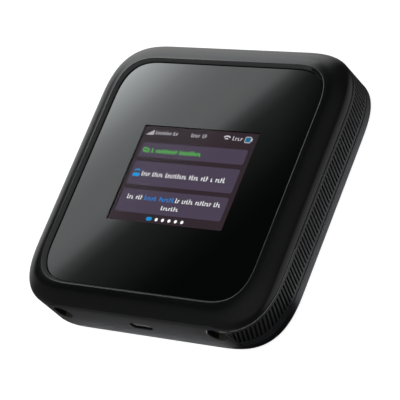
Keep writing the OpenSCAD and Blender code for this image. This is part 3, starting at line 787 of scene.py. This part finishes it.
# ---------------------------------------- front lens
def build_lens():
    """Black glass with a small round along its upper edge."""
    s = even_columns(straight=1, corner=64)[:, None]
    r = LENS_EDGE
    rows = [(LENS_LOW_Z, LENS_HALF - 0.1), (LENS_LOW_Z + 0.1, LENS_HALF), (LENS_Z - r, LENS_HALF)]
    rows += [(LENS_Z - r + r * math.sin(a), LENS_HALF - r + r * math.cos(a))
             for a in np.radians([22, 45, 67, 90])]
    z, half = (np.repeat([column], len(s), 0) for column in zip(*rows))
    s = np.repeat(s, len(rows), 1)
    return loft("front_glass", s, half, z, caps=True, material=lens_black, body="chassis")


lens = build_lens()
cut(lens, prism(rounded(VIEW_W, VIEW_H, 0.5, 6), LENS_LOW_Z - 1, LENS_Z + 1))
for p in lens.data.polygons:
    p.use_smooth = abs(p.normal.z) < 0.999
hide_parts("front_lens")

pane = make("screen_window", *prism(rounded(VIEW_W - 0.01, VIEW_H - 0.01, 0.5, 6), LENS_LOW_Z, LENS_Z),
            material=glass, body="chassis")
pane.data.materials.append(black_ink)
for p in pane.data.polygons:
    p.material_index = 0 if abs(p.normal.z) > 0.9 else 1

# ---------------------------------------- picture on the display
PICTURE_X, PICTURE_Y = -0.75, 0.34
LAYER = 0.02
PICTURE_Z = LENS_LOW_Z - 0.075


def shapes(name, colour, level, parts, dx=PICTURE_X, dy=PICTURE_Y):
    """Flat shapes of one colour on the display, as thin closed plates."""
    z0 = PICTURE_Z + LAYER * level
    solids = [prism([(x + dx, y + dy) for x, y in part], z0, z0 + LAYER * 0.9) for part in parts]
    made = make(name, *joined(*solids), material=lit(name, linear(colour)), body="chassis", weld=False)


def bar(x0, x1, y0, y1, r=0.2):
    """Rounded bar between two corners."""
    return rounded(x1 - x0, y1 - y0, r, 4, (x0 + x1) / 2, (y0 + y1) / 2)


def words(x0, x1, y, height, lengths):
    """A line of blank text from x0 to x1: words of uneven strokes that spell nothing."""
    pitch = (x1 - x0) / (sum(lengths) + len(lengths) - 1)
    parts, x, k = [], x0, 0
    for length in lengths:
        for _ in range(length):
            tall = height * (1.0, 0.68, 0.68, 0.9, 0.68)[k * 7 % 5]
            foot = y - height * (0.5, 0.02)[k % 2]
            parts.append(bar(x + 0.14 * pitch, x + 0.42 * pitch, y - height / 2, y - height / 2 + tall, 0.05))
            parts.append(bar(x + 0.12 * pitch, x + 0.9 * pitch, foot, foot + 0.12 * height, 0.05))
            x += pitch
            k += 1
        x += pitch
    return parts


def ring_band(cx, cy, r0, r1, a0, a1):
    """Part of a ring."""
    return arc((cx, cy), r1, a0, a1, 12) + arc((cx, cy), r0, a1, a0, 12)


shapes("ui_background", "33292f", 0, [bar(-VIEW_W / 2, VIEW_W / 2, -VIEW_H / 2, VIEW_H / 2, 0.1)], 0, 0)
shapes("ui_cards", "4c4254", 1,
       [bar(-22.8, 23.0, y0, y1, 0.8) for y0, y1 in ((6.3, 12.0), (-4.7, 4.5), (-15.3, -6.4))])
white = words(-17.8, -8.2, -0.1, 1.8, (4, 5)) + words(-7.2, 18.6, -0.1, 1.9, (9, 4, 3, 1, 4))
white += words(-19.9, -13.0, -9.3, 1.8, (3, 3)) + words(1.3, 20.7, -9.3, 1.8, (2, 5, 7, 3))
white += words(-3.5, 4.2, -12.6, 1.6, (7,))
white += [arc((x, -17.15), 0.62, 0, 345, 23) for x in (-3.4, -0.65, 2.15, 4.96, 7.7)]
shapes("ui_white", "ffffff", 2, white)
grey = words(-19.1, -11.8, 16.1, 1.5, (8,)) + words(-11.2, -8.9, 16.1, 1.5, (2,))
grey += words(-3.3, 3.6, 16.1, 1.6, (4, 2)) + words(14.5, 19.0, 16.1, 1.6, (4,))
grey += [bar(-22.8 + 0.8 * k, -22.2 + 0.8 * k, 15.0, 15.4 + 0.5 * k, 0.05) for k in range(4)]
grey += [ring_band(12.15, 14.9, r0, r1, 45, 135) for r0, r1 in ((1.6, 2.1), (0.7, 1.1))]
shapes("ui_grey", "cfcad1", 2, grey)
shapes("ui_battery_rim", "b9b6bc", 1, [bar(19.8, 22.5, 14.65, 17.1, 0.6), bar(22.5, 23.0, 15.3, 16.5, 0.2)])
green = words(-17.6, 4.2, 9.0, 1.7, (1, 9, 9))
green += [ring_band(-20.6, 9.2, 0.6, 0.9, 30, 330), ring_band(-19.4, 8.8, 0.5, 0.8, -150, 150)]
shapes("ui_green", "5be04a", 2, green)
shapes("ui_link", "1b8be6", 2, words(-12.2, 0.9, -9.3, 1.8, (5, 6)))
shapes("ui_blue", "1b8fd0", 2,
       [bar(-21.6, -18.6, -1.5, -0.1, 0.4), ring_band(-20.1, -0.2, 1.2, 1.7, 40, 140),
        bar(-7.9, -5.4, -17.8, -16.4, 0.7)])
shapes("ui_battery_fill", "1b6c90", 2, [bar(20.1, 22.2, 14.95, 16.8, 0.4)])


# ---------------------------------------- bottom cover
def build_cover():
    """Cover: its floor and its walls, which the ports' face has none of."""
    end = front_run(FACE_END_X + SEAM)
    s = even_columns(straight=5)
    s = s[(np.abs(s - end) > 0.05) & (np.abs(s - LENGTH + end) > 0.05)]
    rows = [(v, v < end or v > LENGTH - end) for v in s]
    rows += [(end, True), (end + 1e-7, False), (LENGTH - end - 1e-7, False), (LENGTH - end, True)]
    rows = sorted(rows)
    s, face = (np.array(column)[:, None] for column in zip(*rows))
    top, edge, r = BASE_SEAM_Z - SEAM / 2, 0.15, FACE_LOW_R
    profile = [(COVER_LOW_Z, HALF - r)]
    profile += [(COVER_LOW_Z + r * (1 - math.cos(a)), HALF - r * (1 - math.sin(a)))
                for a in np.radians([15, 30, 45, 60, 75, 90])]
    profile += [(top - 1.2, HALF), (top - edge, HALF), (top - edge * 0.3, HALF - edge * 0.3)]
    profile += [(top, HALF - edge), (top, HALF - COVER_WALL), (COVER_FLOOR_Z, HALF - COVER_WALL)]
    z, half = (np.repeat([column], len(s), 0) for column in zip(*profile))
    z = np.where(face, np.clip(z, COVER_LOW_Z, COVER_FLOOR_Z), z)
    half = np.where(face, INNER - SEAM, half)
    return loft("bottom_cover", np.repeat(s, len(profile), 1), half, z, caps=True, material=cover_plastic,
                body="cover", angle=38)


def cover_tools():
    """Seats of the feet, recess for the label and grip at the back."""
    seat = FOOT_R + 0.2
    tools = [prism(rounded(2 * seat, 2 * seat, seat, 12, x, y), -1, FOOT_TOP_Z) for x, y in FEET]
    tools.append(prism(rounded(LABEL_W, LABEL_H, 1.5, 6, 0, LABEL_Y), -1, COVER_LOW_Z + 0.15))
    tools.append(prism(rounded(GRIP_W, GRIP_H, GRIP_H / 2, 8, 0, GRIP_Y), -1, COVER_LOW_Z + 0.8))
    return tools


def build_clips():
    """Two clips on every side but the ports' face."""
    clips = []
    for side in (1, 2, 3):
        c, d = math.cos(math.pi / 2 * side), math.sin(math.pi / 2 * side)
        for along in (-CLIP_X, CLIP_X):
            verts, faces = pillow(CLIP_W, 1.0, 0.3, COVER_FLOOR_Z - 0.2, CLIP_TOP_Z, 0.25,
                                  along, WALL - INNER, 4)
            clips.append(([(c * x - d * y, d * x + c * y, z) for x, y, z in verts], faces))
    return make("cover_clips", *joined(*clips), material=cover_plastic, body="cover")


def build_feet():
    """Round pads whose rounded edge faces down."""
    pads = []
    for x, y in FEET:
        verts, faces = pillow(2 * FOOT_R, 2 * FOOT_R, FOOT_R, 0, FOOT_TOP_Z, 0.3, x, y, 12)
        pads.append(([(a, b, FOOT_TOP_Z - c) for a, b, c in verts], [f[::-1] for f in faces]))
    return make("foot_pads", *joined(*pads), material=rubber, body="cover")


cover = cut(build_cover(), *cover_tools())
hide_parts("battery_cover")
clips = build_clips()
pads = build_feet()
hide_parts("rubber_feet")


# ---------------------------------------- power button
def on_back(solid, y0):
    """Turns a plate built upwards so that it faces the back from y0, at the button's height."""
    verts, faces = solid
    return [(-a, y0 + c, POWER_Z + b) for a, b, c in verts], faces


def build_key():
    """Key, flange behind the wall and stem."""
    inner_y, outer_y = bottom_of("power_button").y, top_of("power_button").y
    key = pillow(POWER_W, POWER_H, POWER_H / 2, 0, outer_y - KEY_BASE_Y, 0.35, steps=12, rounds=5)
    flange_y = inner_y + FLANGE_IN
    flange = pillow(POWER_W + 2, POWER_H + 1.6, 2.0, 0, INNER - 0.05 - flange_y, 0.2)
    stem = cone_tool([(0.9, 0.04), (0.9, 1.45)], 0, POWER_Z, inner_y)
    solid = joined(on_back(key, KEY_BASE_Y), on_back(flange, flange_y), stem)
    return make("power_key", *solid, material=bezel_plastic, body="power_key")


button = build_key()
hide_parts("power_button")

# ---------------------------------------- the other CAD nodes
FINISH = {
    "lens_mask": black_ink, "lens_adhesive": adhesive, "lcd_panel": panel_black,
    "lcd_backlight": backlight_white, "lcd_frame": steel, "lcd_frame_screws": steel, "lcd_flex": flex_film,
    "lcd_connector": black_plastic, "battery_tray": black_plastic, "tray_screws": steel,
    "battery_pack": battery_skin, "battery_label": paper, "battery_pads": gold,
    "contact_block": black_plastic, "contact_pins": gold, "main_pcb": board, "modem_shield": shield_tin,
    "wifi_shield": shield_tin, "modem_chip": chip, "wifi_chip": chip, "thermal_pads": thermal_pad,
    "heat_spreader": graphite, "cellular_antennas": antenna_film, "wifi_antennas": antenna_film,
    "usb_c_shell": nickel, "usb_c_tongue": black_plastic, "usb_c_contacts": gold, "left_jack": jack_metal,
    "right_jack": jack_metal, "jack_insulators": white_plastic, "jack_pins": gold, "power_switch": steel,
    "power_plunger": white_plastic, "reset_button": white_plastic, "reset_switch": steel,
    "sim_holder": steel, "sim_card": white_plastic, "rating_label": paper,
}
BEVELS = {
    "battery_tray": 0.2, "battery_pack": 0.6, "contact_block": 0.15, "sim_holder": 0.12, "reset_switch": 0.15,
    "power_switch": 0.12, "modem_chip": 0.1, "wifi_chip": 0.1, "lcd_connector": 0.15,
}
for name, finish in FINISH.items():
    node = frame["nodes"][name]
    if not node.material_slots:
        node.data.materials.append(finish)
    for place in node.material_slots:
        place.material = finish
    if name in BEVELS:
        bevel = node.modifiers.new("bevel", "BEVEL")
        bevel.width = BEVELS[name] * MM
        bevel.segments = 2
        bevel.limit_method = "ANGLE"
        bevel.angle_limit = math.radians(40)

# ---------------------------------------- camera
TARGET = Vector((0.011295, -0.008098, 0.0194))
CAMERA_AT = Vector((0.450206, -0.251486, 0.526561))
ROLL = math.radians(-46.337)
view = bpy.data.cameras.new("camera")
view.lens = 191.94
view.sensor_width = 36.0
view.shift_x, view.shift_y = 0.0005, -0.00125
view.clip_start, view.clip_end = 0.05, 20.0
camera = bpy.data.objects.new("camera", view)
bpy.context.scene.collection.objects.link(camera)
camera.location = CAMERA_AT
camera.rotation_mode = "QUATERNION"
camera.rotation_quaternion = (TARGET - CAMERA_AT).to_track_quat("-Z", "Y") @ Quaternion((0, 0, 1), ROLL)
bpy.context.scene.camera = camera
bpy.context.scene.view_settings.view_transform = "Standard"


# ---------------------------------------- table
def table_white():
    """White table that can't be seen from below."""
    made, tree, main = shader("floor")
    node, link = tree.nodes.new, tree.links.new
    link(blend(tree, noise(tree, 4.0), [0.28] * 3, [0.32] * 3), main.inputs["Base Color"])
    tune(main, Roughness=1.0, Specular_IOR_Level=0.0, Emission_Color=(1, 1, 1, 1), Emission_Strength=0.93)
    either_side = node("ShaderNodeMixShader")
    link(node("ShaderNodeNewGeometry").outputs["Backfacing"], either_side.inputs["Fac"])
    link(main.outputs["BSDF"], either_side.inputs[1])
    link(node("ShaderNodeBsdfTransparent").outputs["BSDF"], either_side.inputs[2])
    link(either_side.outputs["Shader"], tree.nodes["Material Output"].inputs["Surface"])
    return made


def plate(name, x0, x1, y0, y1, z, material):
    """Level rectangle."""
    corners = [(x0, y0, z), (x1, y0, z), (x1, y1, z), (x0, y1, z)]
    return make(name, corners, [(0, 1, 2, 3)], material)


floor = plate("floor", -1500, 1500, -1500, 1500, 0, table_white())
floor.visible_glossy = False
floor.visible_diffuse = False
floor.visible_shadow = False
floor.parent = frame["bodies"]["cover"]
floor.matrix_parent_inverse = floor.parent.matrix_world.inverted()

# ---------------------------------------- studio
# Each glow's direction, its angles in degrees where it is full and where it ends, and its strength
GLOWS = [((-0.8, 0.6, 0.05), 12, 50, 0.95), ((0.8, 0.45, -0.55), 10, 50, 0.62),
         ((-0.6, -0.65, 0.15), 15, 65, 0.1), ((0.45, -0.35, 0.8), 15, 65, 0.2),
         ((-0.6, -0.3, -0.74), 10, 40, 0.08), ((-0.65, 0.72, 0.26), 5, 28, 0.9)]


def build_world():
    """Soft glows round the object, which the camera doesn't see."""
    world = bpy.data.worlds.new("studio")
    bpy.context.scene.world = world
    world.use_nodes = True
    tree = world.node_tree
    tree.nodes.clear()
    node, link = tree.nodes.new, tree.links.new
    around = node("ShaderNodeBackground")
    choose = node("ShaderNodeMixShader")
    every_way = node("ShaderNodeTexCoord").outputs["Generated"]
    parts = []
    for direction, full, none, strength in GLOWS:
        towards = distance_along(tree, every_way, Vector(direction).normalized())
        parts.append(ranged(tree, towards, True, From_Min=math.cos(math.radians(none)),
                            From_Max=math.cos(math.radians(full)), To_Min=0.01, To_Max=strength))
    total = parts[0]
    for part in parts[1:]:
        total = combined(tree, "ADD", total, part)
    link(total, around.inputs["Strength"])
    link(node("ShaderNodeLightPath").outputs["Is Camera Ray"], choose.inputs["Fac"])
    link(around.outputs["Background"], choose.inputs[1])
    link(node("ShaderNodeBackground").outputs["Background"], choose.inputs[2])
    link(choose.outputs["Shader"], node("ShaderNodeOutputWorld").inputs["Surface"])


def lamp(name, spot, aim, power, size, depth=None):
    """Soft area light that isn't mirrored: a disc or, with a depth, a strip."""
    data = bpy.data.lights.new(name, "AREA")
    data.shape = "RECTANGLE" if depth else "DISK"
    data.size = size
    if depth:
        data.size_y = depth
    data.energy = power
    made = bpy.data.objects.new(name, data)
    bpy.context.scene.collection.objects.link(made)
    made.location = spot
    made.rotation_mode = "QUATERNION"
    made.rotation_quaternion = (Vector(aim) - Vector(spot)).to_track_quat("-Z", "Y")
    made.visible_glossy = False
    made.visible_camera = False
    made.visible_transmission = False


def build_bounces():
    """Light that the table throws back on each side."""
    out, low, aim, high = 0.0575, -0.004, HALF * MM, 0.005
    for name, x, y, power in (("front", 0, -1, 0.023), ("right", 1, 0, 0.0078), ("back", 0, 1, 0.018),
                              ("left", -1, 0, 0.018)):
        lamp(f"{name}_bounce", (out * x, out * y, low), (aim * x, aim * y, high), power, 0.075, 0.004)


def build_flags():
    """Flags that keep the light off the foot of the near corner and the lower edge of the ports' face."""
    black, _, main = shader("flag")
    tune(main, Base_Color=(0.001, 0.001, 0.001, 1))
    s = np.linspace(LENGTH / 8 - 16, LENGTH / 8 + 16, 25)
    x, y = at(s, HALF + 2.5)
    verts = [(a, b, z) for a, b in zip(x, y) for z in (-7.0, 6.0)]
    flag = make("flag", verts, grid_faces(len(s), 2, False, False), black)
    for part in (flag, plate("shade", -37, 37, -53.5, -48, -0.2, black)):
        part.visible_camera = False


build_world()
lamp("overhead", (0.1, -0.1, 1.2), (0, 0, 0.01), 9.0, 0.9)
lamp("near_side", (0.9, -0.45, 0.45), (0, 0, 0.01), 0.35, 0.6)
lamp("under", (0.15, -0.1, -0.9), (0, 0, 0.01), 1.2, 0.9)
build_bounces()
lamp("near_corner", (0.075, -0.075, 0.035), (0.046, -0.046, 0.0145), 0.005, 0.02)
build_flags()

# ---------------------------------------- reflector
# Places across the glass in millimetres from the slanting edge, with the brightness there of the whole
# reflector and what its middle adds
LEVELS = [(-40, 0.0, 0.0), (-30, 0.03, 0.0), (-19, 0.13, 0.0), (-12, 0.2, 0.0), (-5.5, 0.28, 0.0),
          (0, 0.75, 0.0), (4, 1.75, 0.0), (10, 2.02, 0.0), (21, 2.08, 0.0), (28, 2.4, 0.0), (34, 2.8, 0.2),
          (40, 2.6, 1.7), (46, 2.3, 3.4), (52, 2.3, 5.4), (59, 2.4, 4.8), (68, 2.3, 2.8), (80, 2.1, 1.2),
          (100, 2.2, 0.5), (130, 2.2, 0.0), (160, 2.0, 0.0)]
LEVEL_TOP = 8.0
# Ends where the whole reflector fades, and where its middle does: which coordinate, dark and full place
ENDS = ((3, -130, -63), (2, 84, 44))
MIDDLE_ENDS = ((1, -45, -5), (1, 70, 40))


def glass_planes(origin, centre, forward, across, upward):
    """Four coordinates on the glass as planes over the card: across the edge, along it and two slants."""

    def on_card(x, y):
        """Where the card stands in the ray that the glass sends on at a spot."""
        ray = (Vector((x * MM, y * MM, LENS_Z * MM)) - origin).normalized()
        hit = origin + ray * ((centre - origin).dot(forward) / ray.dot(forward))
        return (hit - centre).dot(across), (hit - centre).dot(upward)

    spots = [(x, y) for x in (-44, 0, 44) for y in (-44, 0, 44)]
    rows = np.array([(1, *on_card(x, y)) for x, y in spots])
    w, u = np.array([(-0.79 * (x - 10.3) + 0.6 * (y - 19.7), 0.6 * x + 0.79 * y) for x, y in spots]).T
    return np.linalg.lstsq(rows, np.column_stack([w, u, u - 0.9 * w, u - 0.35 * w]), rcond=None)[0].T


def level_ramp(tree, place):
    """Brightness of the two parts of the reflector, as shares of LEVEL_TOP."""
    first, last = LEVELS[0][0], LEVELS[-1][0]
    ramp = tree.nodes.new("ShaderNodeValToRGB")
    stops = ramp.color_ramp.elements
    for w, whole, middle in LEVELS:
        spot = (w - first) / (last - first)
        stop = stops[0] if spot <= 0 else stops[-1] if spot >= 1 else stops.new(spot)
        stop.color = (whole / LEVEL_TOP, middle / LEVEL_TOP, 0, 1)
    parts = tree.nodes.new("ShaderNodeSeparateColor")
    tree.links.new(ranged(tree, place, From_Min=first, From_Max=last), ramp.inputs["Fac"])
    tree.links.new(ramp.outputs["Color"], parts.inputs["Color"])
    return parts.outputs["Red"], parts.outputs["Green"]


def reflector_light(planes, centre, across, upward):
    """Light of the card: a slanting edge with a soft tail, and a brighter middle."""
    made, tree, _ = shader("reflector")
    node, link = tree.nodes.new, tree.links.new
    position = node("ShaderNodeTexCoord").outputs["Object"]
    glass_mm = []
    for plane in planes:
        gradient = across * plane[1] + upward * plane[2]
        slope = distance_along(tree, position, gradient)
        glass_mm.append(combined(tree, "ADD", slope, float(plane[0] - gradient.dot(centre))))

    def faded(level, ends):
        """Level that falls to nothing at each end."""
        for source, dark, full in ends:
            level = combined(tree, "MULTIPLY", level,
                             ranged(tree, glass_mm[source], True, From_Min=dark, From_Max=full))
        return level

    whole, middle = level_ramp(tree, glass_mm[0])
    level = combined(tree, "ADD", faded(middle, MIDDLE_ENDS), whole)
    glow = tune(node("ShaderNodeEmission"), Color=(0.95, 0.99, 1.0, 1))
    link(faded(combined(tree, "MULTIPLY", level, LEVEL_TOP), ENDS), glow.inputs["Strength"])
    link(glow.outputs["Emission"], tree.nodes["Material Output"].inputs["Surface"])
    return made


def build_reflector():
    """Card that the glass mirrors, placed where the mirrored view looks."""
    origin = Vector((CAMERA_AT.x, CAMERA_AT.y, 2 * LENS_Z * MM - CAMERA_AT.z))
    middle = Vector((0, 0, LENS_Z * MM))
    forward = (middle - origin).normalized()
    across = Vector((-forward.y, forward.x, 0)).normalized()
    upward = across.cross(forward)
    distance, reach = 0.5, 0.3
    centre = middle + forward * distance
    planes = glass_planes(origin, centre, forward, across, upward)
    corners = [(-reach, -reach), (reach, -reach), (reach, reach), (-reach, reach)]
    verts = [tuple((centre + across * a + upward * b) / MM) for a, b in corners]
    card = make("reflector", verts, [(0, 1, 2, 3)], reflector_light(planes, centre, across, upward))
    card.visible_camera = False
    card.visible_diffuse = False
    card.visible_shadow = False
    card.visible_transmission = False


build_reflector()
